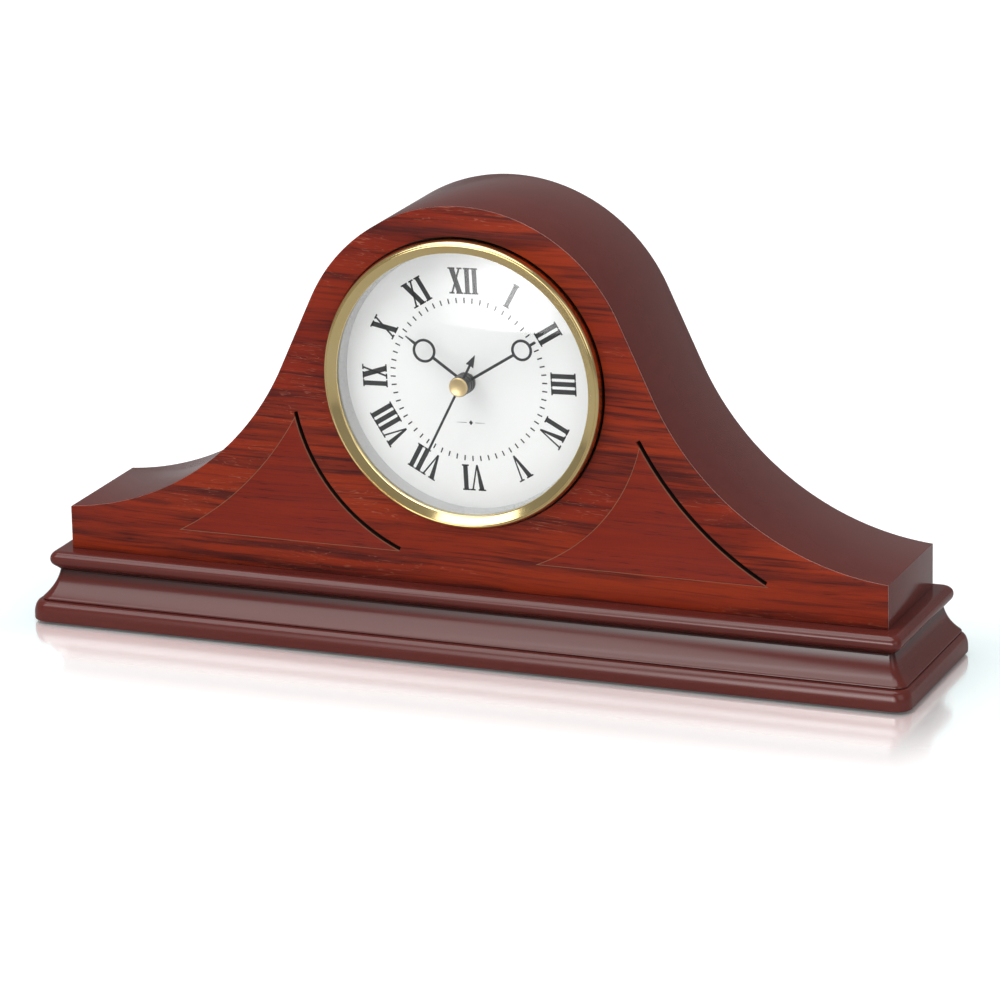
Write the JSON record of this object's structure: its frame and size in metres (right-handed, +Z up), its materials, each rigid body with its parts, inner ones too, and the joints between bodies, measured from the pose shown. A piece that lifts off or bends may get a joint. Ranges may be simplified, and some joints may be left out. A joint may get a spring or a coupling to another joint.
{
  "type": "mantel clock",
  "caption": "Tambour mantel clock: arched wooden case on a moulded base, round brass bezel, domed lens, Roman dial, three hands and a battery quartz movement.",
  "frame": {"origin": "on the surface the clock stands on, under the middle of its base", "axes": "+Z up, +X along the clock to the right as seen from the front, the dial faces -Y"},
  "size_m": [0.4, 0.0906, 0.1963],
  "materials": {
    "red_veneer": "satin",
    "raw_board": "matte",
    "dark_lacquer": "gloss",
    "steel": "satin",
    "felt": "matte",
    "brass": "polished",
    "glass": "polished",
    "grey_plastic": "satin",
    "white_dial": "matte",
    "black_plastic": "matte",
    "rubber": "matte",
    "black_metal": "satin",
    "white_plastic": "satin",
    "copper": "satin",
    "circuit_board": "satin",
    "battery_wrap": "gloss"
  },
  "bodies": {
    "case": {"front_veneer": "red_veneer", "veneer_inlay_left": "red_veneer", "veneer_inlay_right": "red_veneer", "front_board": "raw_board", "corner_block_left": "raw_board", "corner_block_right": "raw_board", "case_shell": "dark_lacquer", "back_board": "dark_lacquer", "base_moulding": "dark_lacquer", "base_plinth": "dark_lacquer", "base_screw_1": "steel", "base_screw_2": "steel", "base_screw_3": "steel", "base_screw_4": "steel", "foot_pad_1": "felt", "foot_pad_2": "felt", "foot_pad_3": "felt", "foot_pad_4": "felt", "bezel": "brass", "glass_lens": "glass", "rehaut_ring": "grey_plastic", "dial_plate": "white_dial", "dial_cup": "black_plastic", "clamp_strap": "steel", "strap_screw_left": "steel", "strap_screw_right": "steel", "movement_front_housing": "black_plastic", "movement_back_housing": "black_plastic", "centre_bush": "brass", "rubber_washer": "rubber", "dial_nut": "black_metal", "stator": "steel", "coil_core": "steel", "coil": "copper", "circuit_board": "circuit_board", "clock_chip": "black_plastic", "quartz_crystal": "steel", "battery_contact_negative": "steel", "battery_contact_positive": "steel"},
    "minute_train": {"centre_wheel": "white_plastic", "minute_hand": "black_metal"},
    "hour_train": {"hour_wheel": "white_plastic", "hour_hand": "black_metal"},
    "seconds_train": {"seconds_wheel": "white_plastic", "second_hand": "black_metal", "second_hand_cap": "brass"},
    "day_wheel": {"day_wheel": "white_plastic"},
    "third_wheel": {"third_wheel": "white_plastic"},
    "step_wheel": {"step_wheel": "white_plastic"},
    "rotor": {"rotor": "black_plastic"},
    "setting_knob": {"setting_knob": "white_plastic"},
    "battery": {"battery": "battery_wrap"}
  },
  "joints": [
    {"name": "minute_hand_turn", "type": "hinge", "parent": "case", "child": "minute_train", "pos_m": [0, 0, 0.1203], "axis": [0, 1, 0], "continuous": true},
    {"name": "hour_hand_turn", "type": "hinge", "parent": "case", "child": "hour_train", "pos_m": [0, 0, 0.1203], "axis": [0, 1, 0], "continuous": true},
    {"name": "second_hand_turn", "type": "hinge", "parent": "case", "child": "seconds_train", "pos_m": [0, 0, 0.1203], "axis": [0, 1, 0], "continuous": true},
    {"name": "day_wheel_turn", "type": "hinge", "parent": "case", "child": "day_wheel", "pos_m": [0.00846, 0, 0.12338], "axis": [0, 1, 0], "continuous": true},
    {"name": "third_wheel_turn", "type": "hinge", "parent": "case", "child": "third_wheel", "pos_m": [-0.01039, 0, 0.1263], "axis": [0, 1, 0], "continuous": true},
    {"name": "step_wheel_turn", "type": "hinge", "parent": "case", "child": "step_wheel", "pos_m": [0, 0, 0.1298], "axis": [0, 1, 0], "continuous": true},
    {"name": "rotor_turn", "type": "hinge", "parent": "case", "child": "rotor", "pos_m": [0.0041, 0, 0.1369], "axis": [0, 1, 0], "continuous": true},
    {"name": "setting_knob_turn", "type": "hinge", "parent": "case", "child": "setting_knob", "pos_m": [0.0171, 0, 0.12652], "axis": [0, 1, 0], "continuous": true},
    {"name": "battery_slide", "type": "slide", "parent": "case", "child": "battery", "axis": [0, 1, 0], "range_m": [0, 0.055]}
  ],
  "couplings": [
    {"joint": "hour_hand_turn", "follows": "minute_hand_turn", "ratio": 0.083333},
    {"joint": "second_hand_turn", "follows": "minute_hand_turn", "ratio": 60},
    {"joint": "day_wheel_turn", "follows": "minute_hand_turn", "ratio": -0.33333},
    {"joint": "third_wheel_turn", "follows": "minute_hand_turn", "ratio": -8},
    {"joint": "step_wheel_turn", "follows": "minute_hand_turn", "ratio": -360},
    {"joint": "rotor_turn", "follows": "minute_hand_turn", "ratio": 1800},
    {"joint": "setting_knob_turn", "follows": "minute_hand_turn", "ratio": 0.66667}
  ]
}
